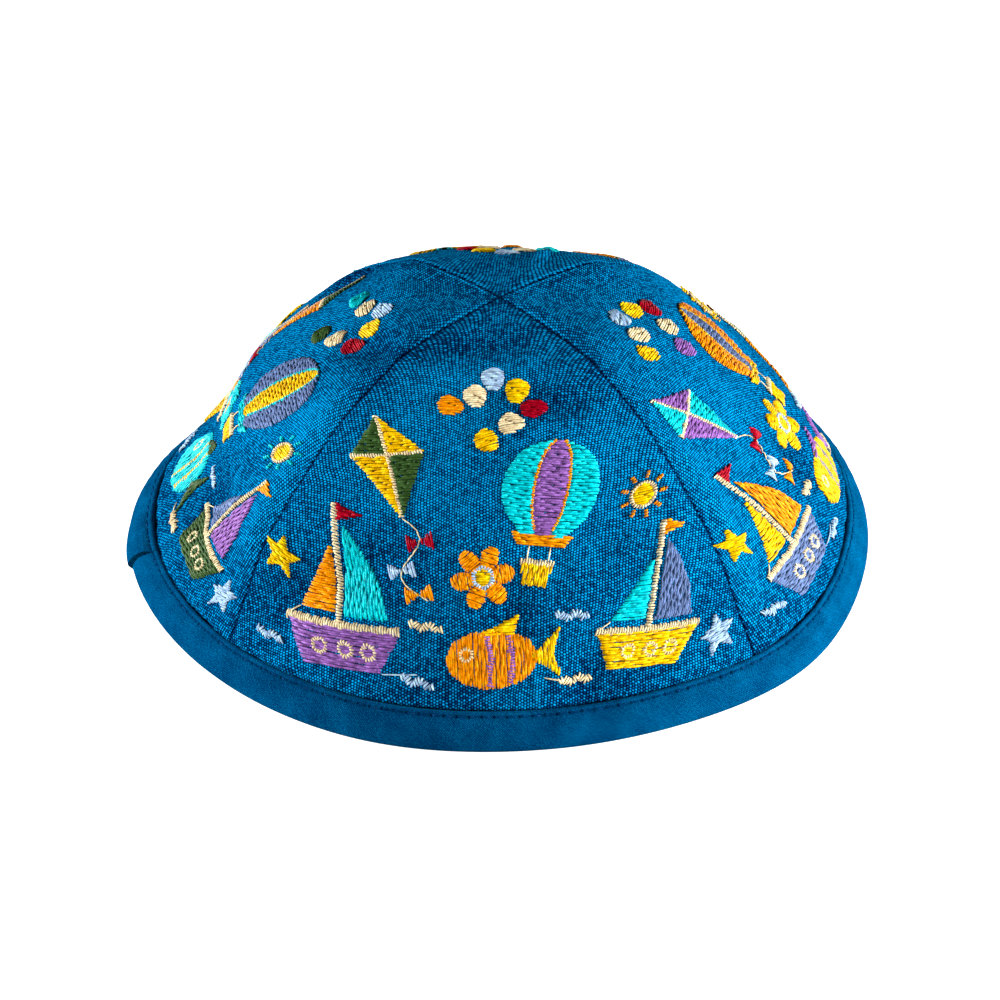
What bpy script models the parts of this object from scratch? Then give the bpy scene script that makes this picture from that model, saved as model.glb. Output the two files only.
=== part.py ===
"""A skullcap of four sewn panels, with a folded tape bound round its lower edge.

Metres, +Z up. The origin is on the floor, under the middle of the cap's bounds. The front
panel faces -Y, and azimuths run anticlockwise from +X, seen from above.
"""

import math
from collections import namedtuple

import bmesh
import bpy
from mathutils import Vector

# Driving sizes, in metres
RIM_RADIUS = 0.0825
CROWN_HEIGHT = 0.0603
CLOTH_WALL = 0.0012
TAPE_WALL = 0.0010
TAPE_WIDTH = 0.0060
TAPE_INNER_WIDTH = 0.0056
TAPE_PUFF = 0.0002
CLEARANCE = 0.0003
LAP_RISE = 0.0012
LAP_LENGTH = 0.020
LAP_STEP = 0.0004

# Directions, in degrees
PANEL_SPREAD = 90
LAP_AZIMUTH = 194.5

# How finely the forms are divided
PANEL_COLUMNS = 20
PANEL_ROWS = 18
TAPE_COLUMNS = 80

# The steepest share of a wall's thickness that lies upright at the rim
WALL_LEAN = 0.7

BLUE_CLOTH = (0.005, 0.150, 0.330, 1.0)
BLUE_TAPE = (0.004, 0.110, 0.290, 1.0)

# The cap's form, from the apex down: the height as a share of CROWN_HEIGHT, and the reach
# from the axis as a share of the rim's, along a seam and along the middle of a panel.
Section = namedtuple("Section", "height seam middle")
SECTIONS = (
    Section(height=1.00, seam=0.000, middle=0.000),
    Section(height=0.97, seam=0.295, middle=0.220),
    Section(height=0.90, seam=0.430, middle=0.364),
    Section(height=0.80, seam=0.557, middle=0.497),
    Section(height=0.65, seam=0.674, middle=0.637),
    Section(height=0.45, seam=0.817, middle=0.776),
    Section(height=0.25, seam=0.899, middle=0.873),
    Section(height=0.00, seam=0.984, middle=0.990),
)

# Where the cloth stands in or out of that regular form. The height is a share of
# CROWN_HEIGHT, out is a share of RIM_RADIUS, and the spreads are half widths.
Pull = namedtuple("Pull", "azimuth spread height rise out")
PULLS = {
    "left_flare": Pull(azimuth=188, spread=30, height=0.00, rise=0.16, out=0.010),
    "left_hollow": Pull(azimuth=176, spread=26, height=0.36, rise=0.16, out=-0.060),
    "left_shoulder": Pull(azimuth=182, spread=24, height=0.64, rise=0.12, out=0.008),
    "back_left_hem": Pull(azimuth=146, spread=20, height=0.00, rise=0.25, out=-0.070),
    "back_left_shoulder": Pull(azimuth=140, spread=30, height=0.85, rise=0.12, out=-0.026),
    "back_left_waist": Pull(azimuth=147, spread=12, height=0.54, rise=0.10, out=-0.020),
    "right_shoulder": Pull(azimuth=10, spread=20, height=0.80, rise=0.10, out=0.012),
    "right_fullness": Pull(azimuth=2, spread=28, height=0.30, rise=0.20, out=0.014),
    "front_right_hem": Pull(azimuth=322, spread=18, height=0.00, rise=0.22, out=0.031),
    "front_left_hem": Pull(azimuth=236, spread=22, height=0.00, rise=0.25, out=0.014),
    "front_right_fold": Pull(azimuth=318, spread=16, height=0.62, rise=0.18, out=0.018),
    "front_left_fold": Pull(azimuth=222, spread=16, height=0.60, rise=0.25, out=0.018),
    "front_dimple": Pull(azimuth=252, spread=16, height=0.86, rise=0.08, out=-0.009),
    "back_fold": Pull(azimuth=74, spread=12, height=0.50, rise=0.30, out=-0.008),
}


def between(before, start, end, after, share):
    """A smooth curve through start and end, with the values next to them on each side."""
    slope_start = (end - before) / 2
    slope_end = (after - start) / 2
    square = share * share
    cube = square * share
    return (
        (2 * cube - 3 * square + 1) * start
        + (cube - 2 * square + share) * slope_start
        + (3 * square - 2 * cube) * end
        + (cube - square) * slope_end
    )


def section_at(down):
    """The section at a share down the cap: 0 is the apex, 1 the floor."""
    last = len(SECTIONS) - 1
    place = min(max(down, 0.0), 1.0) * last
    row = min(int(place), last - 1)
    start, end = SECTIONS[row], SECTIONS[row + 1]
    # The form goes on over the apex to the far side, and straight on below the floor.
    across = Section(SECTIONS[1].height, -SECTIONS[1].seam, -SECTIONS[1].middle)
    before = SECTIONS[row - 1] if row else across
    below = Section(*(2 * last_row - row_above for row_above, last_row in zip(start, end)))
    after = SECTIONS[row + 2] if row + 2 <= last else below
    values = zip(before, start, end, after)
    return Section(*(between(*four, place - row) for four in values))


def down_at(height):
    """The share down the cap where it is this high, as a share of CROWN_HEIGHT."""
    low, high = 0.0, 1.0
    for _ in range(40):
        middle = (low + high) / 2
        if section_at(middle).height > height:
            low = middle
        else:
            high = middle
    return (low + high) / 2


def turned_from(azimuth, other):
    """The angle from one azimuth to another, from -180 to 180 degrees."""
    return (azimuth - other + 180) % 360 - 180


def pulled_out(azimuth, height):
    """How far the pulls move the cloth out, as a share of the rim's radius."""
    total = 0.0
    for pull in PULLS.values():
        across = turned_from(azimuth, pull.azimuth) / pull.spread
        along = (height - pull.height) / pull.rise
        total += pull.out * math.exp(-across * across - along * along)
    return total


def reach_and_height(azimuth, down):
    """Distance from the axis, and height, of the cloth's outer face."""
    section = section_at(down)
    panel_middle = round((azimuth - 270) / PANEL_SPREAD) * PANEL_SPREAD + 270
    share = turned_from(azimuth, panel_middle) / (PANEL_SPREAD / 2)
    reach = section.middle + (section.seam - section.middle) * share * share
    reach += pulled_out(azimuth, section.height) * min(1.0, 3 * down)
    return reach * RIM_RADIUS, section.height * CROWN_HEIGHT


def lean_at(azimuth, down):
    """The cloth's direction down the wall, and the length of one whole share down."""
    step = 0.01
    above = reach_and_height(azimuth, down - step)
    here = reach_and_height(azimuth, down)
    run, drop = here[0] - above[0], here[1] - above[1]
    length = math.hypot(run, drop)
    return run / length, drop / length, length / step


def placed(azimuth, reach, height):
    angle = math.radians(azimuth)
    return Vector((reach * math.cos(angle), reach * math.sin(angle), height))


def wall_point(azimuth, up, out):
    """The point this far up the wall from the cloth's lower edge, and out from its face."""
    run, drop, length = lean_at(azimuth, EDGE_DOWN)
    down = EDGE_DOWN - max(up, 0.0) / length
    reach, height = reach_and_height(azimuth, down)
    if up > 0:
        run, drop, _ = lean_at(azimuth, down)
    past = max(-up, 0.0)
    reach += past * run - out * drop
    height += past * drop + out * run
    return placed(azimuth, reach, height)


def foot_point(azimuth, out, height):
    """The point below the cloth's edge at this height, out from the line of its face."""
    run, drop, _ = lean_at(azimuth, EDGE_DOWN)
    reach, edge_height = reach_and_height(azimuth, EDGE_DOWN)
    reach -= out * drop
    edge_height += out * run
    past = (height - edge_height) / drop
    return placed(azimuth, reach + past * run, height)


EDGE_HEIGHT = TAPE_WALL + CLEARANCE + CLOTH_WALL * WALL_LEAN
EDGE_DOWN = down_at(EDGE_HEIGHT / CROWN_HEIGHT)


def panel_point(middle, azimuth, down, depth):
    """A point of a panel, this deep behind its outer face, clear of both seam planes."""
    inset = CLEARANCE / math.sqrt(2)
    centre = placed(middle, inset, 0)
    if down <= 0:
        return centre + Vector((0, 0, CROWN_HEIGHT - depth))
    run, drop, _ = lean_at(azimuth, down)
    reach, height = reach_and_height(azimuth, down)
    reach = (reach + depth * drop) * (1 - inset / RIM_RADIUS)
    return centre + placed(azimuth, reach, height - depth * run)


def clear_scene():
    for obj in list(bpy.data.objects):
        bpy.data.objects.remove(obj, do_unlink=True)


def new_collection(name):
    collection = bpy.data.collections.new(name)
    bpy.context.scene.collection.children.link(collection)
    return collection


def new_material(name, colour, roughness):
    material = bpy.data.materials.new(name)
    material.use_nodes = True
    shader = material.node_tree.nodes["Principled BSDF"]
    shader.inputs["Base Color"].default_value = colour
    shader.inputs["Roughness"].default_value = roughness
    shader.inputs["Metallic"].default_value = 0.0
    material.diffuse_color = colour
    return material


def new_object(name, mesh, collection, material=None):
    obj = bpy.data.objects.new(name, mesh)
    collection.objects.link(obj)
    if material and not mesh.materials:
        mesh.materials.append(material)
    return obj


def add_panel(name, middle, cap, material):
    """One gore: a slab of one layer of cells, shaped to the cloth's two faces."""
    form = bmesh.new()
    bmesh.ops.create_grid(form, x_segments=PANEL_COLUMNS, y_segments=PANEL_ROWS, size=1)
    outer = form.faces[:]
    made = bmesh.ops.extrude_face_region(form, geom=outer, use_keep_orig=True)
    for vert in made["geom"]:
        if isinstance(vert, bmesh.types.BMVert):
            vert.co.z = 1
    for vert in form.verts:
        azimuth = middle + vert.co.x * PANEL_SPREAD / 2
        down = EDGE_DOWN * (1 + vert.co.y) / 2
        vert.co = panel_point(middle, azimuth, down, vert.co.z * CLOTH_WALL)
    bmesh.ops.remove_doubles(form, verts=form.verts[:], dist=1e-6)
    bmesh.ops.recalc_face_normals(form, faces=form.faces[:])
    mesh = bpy.data.meshes.new(name)
    form.to_mesh(mesh)
    form.free()
    return new_object(name, mesh, cap, material)


def lap_rise(turn):
    """How much the tape's lapped end lifts its outer face, at a share of a turn."""
    lap = LAP_LENGTH / (2 * math.pi * RIM_RADIUS)
    share = max(0.0, (turn - 1 + lap) / lap)
    return LAP_RISE * share * share * (3 - 2 * share) if turn < 1 else 0.0


def tape_section(azimuth, rise):
    """The folded tape's outline at one azimuth, from the channel's mouth outwards."""
    outer = CLEARANCE
    face = outer + TAPE_WALL + rise
    swell = face + TAPE_PUFF
    inner = -CLOTH_WALL - CLEARANCE
    back = inner - TAPE_WALL
    edge = TAPE_WALL / 4
    heel = (CLEARANCE + TAPE_WALL) / 2
    return (
        wall_point(azimuth, TAPE_WIDTH - edge, outer),
        wall_point(azimuth, TAPE_WIDTH, (outer + face) / 2),
        wall_point(azimuth, TAPE_WIDTH - edge, face),
        wall_point(azimuth, TAPE_WIDTH * 2 / 3, swell),
        wall_point(azimuth, TAPE_WIDTH / 3, swell),
        wall_point(azimuth, 0, face),
        wall_point(azimuth, -heel, face - edge),
        foot_point(azimuth, outer, 0),
        foot_point(azimuth, inner, 0),
        foot_point(azimuth, back, heel),
        wall_point(azimuth, TAPE_INNER_WIDTH / 2, back),
        wall_point(azimuth, TAPE_INNER_WIDTH - edge, back),
        wall_point(azimuth, TAPE_INNER_WIDTH, (inner + back) / 2),
        wall_point(azimuth, TAPE_INNER_WIDTH - edge, inner),
        wall_point(azimuth, TAPE_INNER_WIDTH / 2, inner),
        foot_point(azimuth, inner, TAPE_WALL),
        foot_point(azimuth, outer, TAPE_WALL),
        wall_point(azimuth, TAPE_WIDTH / 2, outer),
    )


def add_binding(cap, material):
    """The tape's section carried once round the rim, from its lapped end back to it."""
    step = LAP_STEP / (2 * math.pi * RIM_RADIUS)
    turns = [column / TAPE_COLUMNS for column in range(TAPE_COLUMNS)] + [1 - step, 1]
    rings = [tape_section(LAP_AZIMUTH + 360 * turn, lap_rise(turn)) for turn in turns]
    corners = len(rings[0])
    form = bmesh.new()
    bmesh.ops.create_grid(
        form, x_segments=len(turns) - 1, y_segments=corners, size=0.5
    )
    for vert in form.verts:
        column = round((vert.co.x + 0.5) * (len(turns) - 1))
        corner = round((vert.co.y + 0.5) * corners) % corners
        vert.co = rings[column][corner]
    bmesh.ops.remove_doubles(form, verts=form.verts[:], dist=1e-6)
    bmesh.ops.recalc_face_normals(form, faces=form.faces[:])
    mesh = bpy.data.meshes.new("binding")
    form.to_mesh(mesh)
    form.free()
    return new_object("binding", mesh, cap, material)


def centre_on_floor(objects):
    """Moves the meshes so that the middle of their bounds is over the origin."""
    verts = [vert for obj in objects for vert in obj.data.vertices]
    middle = Vector(
        (min(v.co[axis] for v in verts) + max(v.co[axis] for v in verts)) / 2
        for axis in range(2)
    )
    for vert in verts:
        vert.co.x -= middle.x
        vert.co.y -= middle.y


def main():
    clear_scene()
    cap = new_collection("kippah")
    cloth = new_material("blue_cloth", BLUE_CLOTH, 0.75)
    tape = new_material("blue_tape", BLUE_TAPE, 0.6)
    panels = {"panel_front": 270, "panel_right": 0, "panel_back": 90, "panel_left": 180}
    made = [add_panel(*panel, cap, cloth) for panel in panels.items()]
    made.append(add_binding(cap, tape))
    centre_on_floor(made)
    for obj in made:
        obj.data.shade_smooth()
        obj.data.set_sharp_from_angle(angle=math.radians(40))


main()
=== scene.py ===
"""Looks of the embroidered kippah: woven panels, bound edge, stitches and motifs.

Lengths are in millimetres until a mesh is made. Azimuths are in degrees, anticlockwise from
+X seen from above, and the front panel faces -Y.
"""

import math
from collections import namedtuple
from functools import partialmethod

import bmesh
import bpy
import numpy as np
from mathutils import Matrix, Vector


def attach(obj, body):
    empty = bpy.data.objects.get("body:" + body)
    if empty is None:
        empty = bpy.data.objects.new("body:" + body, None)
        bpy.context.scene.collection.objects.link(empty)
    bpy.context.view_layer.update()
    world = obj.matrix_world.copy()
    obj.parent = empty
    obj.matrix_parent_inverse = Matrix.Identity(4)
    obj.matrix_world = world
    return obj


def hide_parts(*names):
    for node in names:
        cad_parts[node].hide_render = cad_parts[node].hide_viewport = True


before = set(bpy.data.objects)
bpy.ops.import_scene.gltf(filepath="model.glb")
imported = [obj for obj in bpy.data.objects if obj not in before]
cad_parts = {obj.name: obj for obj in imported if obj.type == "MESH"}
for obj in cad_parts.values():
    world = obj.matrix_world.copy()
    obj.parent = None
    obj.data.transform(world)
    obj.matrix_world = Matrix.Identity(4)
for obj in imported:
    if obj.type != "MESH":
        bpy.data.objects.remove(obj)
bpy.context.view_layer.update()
rng = np.random.default_rng(18)

# The cap's sizes, as they are in the solids
RIM_RADIUS = 82.5
CROWN_HEIGHT = 60.3
CLOTH_WALL = 1.2
TAPE_WALL = 1.0
TAPE_WIDTH = 6.0
TAPE_INNER_WIDTH = 5.6
CLEARANCE = 0.3
LAP_AZIMUTH = 194.5
LAP_RISE = 1.2
LAP_LENGTH = 20
WALL_LEAN = 0.7
EDGE_HEIGHT = TAPE_WALL + CLEARANCE + CLOTH_WALL * WALL_LEAN
PANEL_MIDDLES = {"front": 270, "right": 0, "back": 90, "left": 180}

Section = namedtuple("Section", "height seam middle")
SECTIONS = (
    Section(height=1.00, seam=0.000, middle=0.000),
    Section(height=0.97, seam=0.295, middle=0.220),
    Section(height=0.90, seam=0.430, middle=0.364),
    Section(height=0.80, seam=0.557, middle=0.497),
    Section(height=0.65, seam=0.674, middle=0.637),
    Section(height=0.45, seam=0.817, middle=0.776),
    Section(height=0.25, seam=0.899, middle=0.873),
    Section(height=0.00, seam=0.984, middle=0.990),
)

Pull = namedtuple("Pull", "azimuth spread height rise out")
PULLS = {
    "left_flare": Pull(azimuth=188, spread=30, height=0.00, rise=0.16, out=0.010),
    "left_hollow": Pull(azimuth=176, spread=26, height=0.36, rise=0.16, out=-0.060),
    "left_shoulder": Pull(azimuth=182, spread=24, height=0.64, rise=0.12, out=0.008),
    "back_left_hem": Pull(azimuth=146, spread=20, height=0.00, rise=0.25, out=-0.070),
    "back_left_shoulder": Pull(azimuth=140, spread=30, height=0.85, rise=0.12, out=-0.026),
    "back_left_waist": Pull(azimuth=147, spread=12, height=0.54, rise=0.10, out=-0.020),
    "right_shoulder": Pull(azimuth=10, spread=20, height=0.80, rise=0.10, out=0.012),
    "right_fullness": Pull(azimuth=2, spread=28, height=0.30, rise=0.20, out=0.014),
    "front_right_hem": Pull(azimuth=322, spread=18, height=0.00, rise=0.22, out=0.031),
    "front_left_hem": Pull(azimuth=236, spread=22, height=0.00, rise=0.25, out=0.014),
    "front_left_tape": Pull(azimuth=255, spread=15, height=0.00, rise=0.20, out=0.010),
    "front_right_fold": Pull(azimuth=318, spread=16, height=0.62, rise=0.18, out=0.018),
    "front_left_fold": Pull(azimuth=222, spread=16, height=0.60, rise=0.25, out=0.018),
    "front_dimple": Pull(azimuth=252, spread=16, height=0.86, rise=0.08, out=-0.009),
    "back_fold": Pull(azimuth=74, spread=12, height=0.50, rise=0.30, out=-0.008),
}

# Soft folds that the cloth has kept, each along a line on a panel: from and to are across the
# panel from its middle line and down from the apex.
Fold = namedtuple("Fold", "panel start end height width")
FOLDS = {
    "front_long": Fold(panel=270, start=(-56, 90), end=(-9, 62), height=-1.28, width=4.5),
    "front_long_lip": Fold(panel=270, start=(-52, 98), end=(-18, 79), height=0.8, width=4.0),
    "front_apex": Fold(panel=270, start=(-18, 20), end=(8, 15), height=-0.96, width=3.0),
    "front_apex_lip": Fold(panel=270, start=(-22, 28), end=(14, 24), height=0.64, width=2.6),
    "front_upper": Fold(panel=270, start=(-3, 31), end=(21, 34), height=-0.96, width=3.2),
    "front_pressed": Fold(panel=270, start=(10.5, 82), end=(10.5, 101), height=0.4, width=0.6),
    "front_hem": Fold(panel=270, start=(19, 88), end=(23, 102), height=-1.12, width=4.5),
    "front_middle": Fold(panel=270, start=(3, 86), end=(6, 68), height=-0.8, width=4.0),
    "left_hollow": Fold(panel=180, start=(23, 90), end=(30, 72), height=-1.44, width=6.0),
    "left_seam": Fold(panel=180, start=(22, 36), end=(50, 80), height=0.96, width=3.2),
    "left_upper": Fold(panel=180, start=(21, 20), end=(5, 36), height=-1.28, width=5.0),
    "left_back": Fold(panel=180, start=(-41, 24), end=(-26, 66), height=-2.6, width=9.0),
    "right_seam": Fold(panel=0, start=(-30, 44), end=(-53, 92), height=0.96, width=2.4),
    "right_upper": Fold(panel=0, start=(7, 42), end=(-1, 56), height=-0.8, width=3.0),
    "right_hollow": Fold(panel=0, start=(-11, 86), end=(-5, 68), height=-1.28, width=5.0),
    "back_pleat": Fold(panel=90, start=(-6, 8), end=(-10, 38), height=0.8, width=1.0),
    "back_long": Fold(panel=90, start=(44, 92), end=(6, 60), height=-1.28, width=4.5),
    "back_lip": Fold(panel=90, start=(40, 99), end=(12, 74), height=0.8, width=4.0),
    "back_hollow": Fold(panel=90, start=(-34, 90), end=(-24, 62), height=-1.28, width=6.0),
}

# The cap's form

ROWS = np.array(SECTIONS)
LAST = len(SECTIONS) - 1
OVER_TOP = ROWS[1] * (1, -1, -1)
UNDER_RIM = 2 * ROWS[-1] - ROWS[-2]
PADDED = np.vstack([OVER_TOP, ROWS, UNDER_RIM])


def section_at(down):
    """Height, seam reach and middle reach at a share down the cap, as shares."""
    place = np.clip(np.asarray(down, float), 0, 1) * LAST
    row = np.minimum(place.astype(int), LAST - 1)
    t = (place - row)[..., None]
    before, start, end, after = (PADDED[row + step] for step in range(4))
    square, cube = t * t, t * t * t
    values = (
        (2 * cube - 3 * square + 1) * start
        + (cube - 2 * square + t) * (end - before) / 2
        + (3 * square - 2 * cube) * end
        + (cube - square) * (after - start) / 2
    )
    return values[..., 0], values[..., 1], values[..., 2]


DOWNS = np.linspace(0, 1, 2001)
HEIGHTS, _, MIDDLE_REACH = section_at(DOWNS)
ARC = np.concatenate(
    [[0], np.cumsum(np.hypot(np.diff(HEIGHTS) * CROWN_HEIGHT, np.diff(MIDDLE_REACH) * RIM_RADIUS))]
)
EDGE_DOWN = float(np.interp(-EDGE_HEIGHT / CROWN_HEIGHT, -HEIGHTS, DOWNS))
TAPE_TOP = float(np.interp(EDGE_DOWN, DOWNS, ARC)) - TAPE_WIDTH


def turned_from(azimuth, other):
    return (azimuth - other + 180) % 360 - 180


def form(azimuth, down):
    """Distance from the axis, and height, of the cloth's outer face, with no relief."""
    height, seam, middle = section_at(down)
    share = turned_from(azimuth, np.round(azimuth / 90) * 90) / 45
    reach = middle + (seam - middle) * share * share
    for pull in PULLS.values():
        across = turned_from(azimuth, pull.azimuth) / pull.spread
        along = (height - pull.height) / pull.rise
        reach = reach + pull.out * np.exp(-across**2 - along**2) * np.minimum(1, 3 * down)
    return reach * RIM_RADIUS, height * CROWN_HEIGHT


def lean(azimuth, down):
    """The cloth's direction down the wall, and the length of one whole share down."""
    reach, height = form(azimuth, down)
    reach_above, height_above = form(azimuth, np.asarray(down) - 0.01)
    near_top = np.asarray(down) < 0.01
    run = np.where(near_top, 1.0, reach - reach_above)
    drop = np.where(near_top, -1e-3, height - height_above)
    length = np.hypot(run, drop)
    return run / length, drop / length, length / 0.01


def solid_middle():
    """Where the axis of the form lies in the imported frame, from the apex of the panels."""
    tops = []
    for panel in PANEL_MIDDLES:
        points = np.array([v.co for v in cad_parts[f"panel_{panel}"].data.vertices])
        tops.append(points[points[:, 2].argmax()][:2])
    return np.mean(tops, 0) * 1000


# part.py moves the cap so that its bounds are centred: the same move is found here.
FRAME_SHIFT = np.append(solid_middle(), 0.0)


def shifted(azimuth, reach, height):
    """The point in the part's frame, whose origin is under the middle of its bounds."""
    angle = np.radians(azimuth)
    point = [reach * np.cos(angle), reach * np.sin(angle), height + 0 * angle]
    return np.stack(np.broadcast_arrays(*point), -1) + FRAME_SHIFT


def waves(x, y, count, shortest, longest, seed):
    """A sum of even waves in a plane, from -1 to 1 or so, the same on each run."""
    chosen = np.random.default_rng(seed)
    total = 0
    for _ in range(count):
        angle, start = chosen.uniform(0, 2 * math.pi, 2)
        length = chosen.uniform(shortest, longest)
        total = total + np.sin(
            (x * math.cos(angle) + y * math.sin(angle)) * 2 * math.pi / length + start
        )
    return total / math.sqrt(count)


def bell(distance, width):
    return np.exp(-((distance / width) ** 2))


def place_on_panel(azimuth, down):
    """The panel's middle, the angle off it, and the lengths across, along and to the seam."""
    panel = np.round(azimuth / 90) * 90
    off = turned_from(azimuth, panel)
    reach = np.interp(down, DOWNS, MIDDLE_REACH) * RIM_RADIUS
    along = np.interp(down, DOWNS, ARC)
    across = np.radians(off) * reach
    from_seam = np.radians(45 - np.abs(off)) * reach
    return panel, off, across, along, from_seam


def folded(panel, across, along, spread=1.0):
    """How far the named folds lift the cloth there."""
    total = 0
    for fold in FOLDS.values():
        line = np.subtract(fold.end, fold.start)
        length = math.hypot(*line)
        x, y = across - fold.start[0], along - fold.start[1]
        share = (x * line[0] + y * line[1]) / length**2
        aside = (x * line[1] - y * line[0]) / length
        taper = np.sin(math.pi * np.clip(share, 0, 1)) ** 0.7
        here = bell(aside / fold.width, spread) * taper * (panel % 360 == fold.panel)
        total = total + fold.height * here
    return total


# A short pressed line low on the front panel, which gets a painted highlight: how far across it is,
# and where it starts
PRESSED_ACROSS = 10.5
PRESSED_FROM = 86
# How far down from the apex the upper seams get a painted highlight
LIT_DOWN = 22
LIT_DOWN_BACK = 55


def tone_and_painted_light(azimuth, down):
    """Painted shade and highlight on the cloth: darker in fold hollows and seam grooves, lighter on
    fold ridges, beside the upper seams off the front panel and along a pressed line, with a little
    random tone.
    """
    panel, _, across, along, from_seam = place_on_panel(azimuth, down)
    side = np.round(panel) % 360
    front, back = side == PANEL_MIDDLES["front"], side == PANEL_MIDDLES["back"]
    # Painted shade in the seam grooves, and a painted highlight beside the upper seams
    seam = -0.3 * bell(from_seam, 0.3) - 0.05 * bell(from_seam, 2)
    high = np.where(back, LIT_DOWN_BACK, LIT_DOWN) * ~front
    lit = 0.4 * np.clip((high - along) / 12, 0, 1) * np.clip(along / 4, 0, 1)
    seam = seam + lit * bell(from_seam - 0.62, 0.26)
    # Painted shade in fold hollows and painted highlight on fold ridges, with a little random tone
    soft = 0.12 * folded(panel, across, along, 1.5)
    soft = soft + 0.03 * waves(across, along + panel, 5, 18, 40, 11)
    # Painted highlight along the pressed line
    pressed = 0.22 * bell(across - PRESSED_ACROSS, 0.5) * np.clip((along - PRESSED_FROM) / 3, 0, 1)
    return soft + seam + pressed * front


def relief(azimuth, down):
    """How far the cloth's small folds stand out of its form."""
    panel, off, across, along, from_seam = place_on_panel(azimuth, down)
    seam = np.round((azimuth - 45) / 90) * 90 + 45
    fade = np.clip(along / 14, 0, 1)
    groove = -0.34 * bell(from_seam, 0.3) - 0.08 * bell(from_seam, 1.4)
    shoulder = 0.12 * bell(from_seam - 3, 2.2)
    slant = 2 * math.pi * (along + 0.55 * from_seam * np.sign(off + 1e-9))
    gather = np.sin(slant / 8.3 + seam) + 0.8 * np.sin(slant / 13.1 + 2.3 * seam)
    gather = 0.07 * gather * np.exp(-from_seam / 5.5) * (1 - bell(from_seam, 1.0))
    soft = folded(panel, across, along) + 0.25 * waves(across, along + panel, 5, 24, 46, 3)
    soft = soft + 0.09 * waves(across + panel, along, 6, 6, 12, 4)
    above_tape = TAPE_TOP - 0.1 - along
    hem = 0.13 * np.sin(across * 2 * math.pi / 5.7 + panel) * np.exp(-np.abs(above_tape) / 3.5)
    hem = hem + 0.35 * bell(above_tape - 2.2, 1.3) - 0.35 * bell(above_tape, 0.6)
    away = 1 - bell(from_seam, 2.5)
    return fade * (groove + shoulder + gather) + (soft + hem) * away * np.clip(along / 25, 0, 1)


def cloth_point(azimuth, down, out=0.0, depth=0.0):
    """A point on the cloth, out from its face or deep behind it."""
    run, drop, _ = lean(azimuth, down)
    reach, height = form(azimuth, down)
    off = relief(azimuth, down) + out - depth
    return shifted(azimuth, reach - off * drop, height + off * run)


def sewn_point(middle, u, v, out):
    """A point over a panel: u across it from its middle line, v down it from the apex."""
    down = np.interp(v, ARC, DOWNS)
    reach = np.maximum(np.interp(down, DOWNS, MIDDLE_REACH) * RIM_RADIUS, 1)
    return cloth_point(middle + np.degrees(u / reach), down, out)


def wall_point(azimuth, up, out):
    """The point this far up the wall from the cloth's lower edge, and out from its face."""
    run, drop, length = lean(azimuth, EDGE_DOWN)
    down = EDGE_DOWN - np.maximum(up, 0) / length
    reach, height = form(azimuth, down)
    run_there, drop_there, _ = lean(azimuth, down)
    run, drop = np.where(up > 0, run_there, run), np.where(up > 0, drop_there, drop)
    past = np.maximum(-up, 0)
    return shifted(
        azimuth, reach + past * run - out * drop, height + past * drop + out * run
    )


# Meshes


def new_piece(name, points, faces, material, uvs, sharp=50):
    """A mesh object from points in millimetres, riding with the cap."""
    mesh = bpy.data.meshes.new(name)
    points = np.asarray(points, np.float32).reshape(-1, 3) / 1000
    faces = np.asarray(faces, np.int32)
    corners = faces.shape[1]
    mesh.vertices.add(len(points))
    mesh.vertices.foreach_set("co", points.ravel())
    mesh.loops.add(faces.size)
    mesh.loops.foreach_set("vertex_index", faces.ravel())
    mesh.polygons.add(len(faces))
    mesh.polygons.foreach_set("loop_start", np.arange(len(faces), dtype=np.int32) * corners)
    layer = mesh.uv_layers.new(name="UVMap")
    layer.data.foreach_set("uv", np.asarray(uvs, np.float32)[faces.ravel()].ravel())
    mesh.update(calc_edges=True)
    mesh.validate()
    obj = bpy.data.objects.new(name, mesh)
    bpy.context.scene.collection.objects.link(obj)
    mesh.materials.append(material)
    mesh.shade_smooth()
    if sharp:
        mesh.set_sharp_from_angle(angle=math.radians(sharp))
    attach(obj, "root")
    return obj


def weld(obj, distance=1e-6):
    """Joins points that lie on each other, and drops the faces that this closes up."""
    shape = bmesh.new()
    shape.from_mesh(obj.data)
    bmesh.ops.remove_doubles(shape, verts=shape.verts[:], dist=distance)
    shape.to_mesh(obj.data)
    shape.free()


def grid_faces(rows, columns, wrap_columns=False):
    """Quads of a grid whose points are numbered row by row."""
    row = np.arange(rows - 1)
    column = np.arange(columns if wrap_columns else columns - 1)
    row, column = np.meshgrid(row, column, indexing="ij")
    next_row, next_column = row + 1, (column + 1) % columns
    quads = [
        row * columns + column,
        row * columns + next_column,
        next_row * columns + next_column,
        next_row * columns + column,
    ]
    return np.stack(quads, -1).reshape(-1, 4)


# Materials


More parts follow.
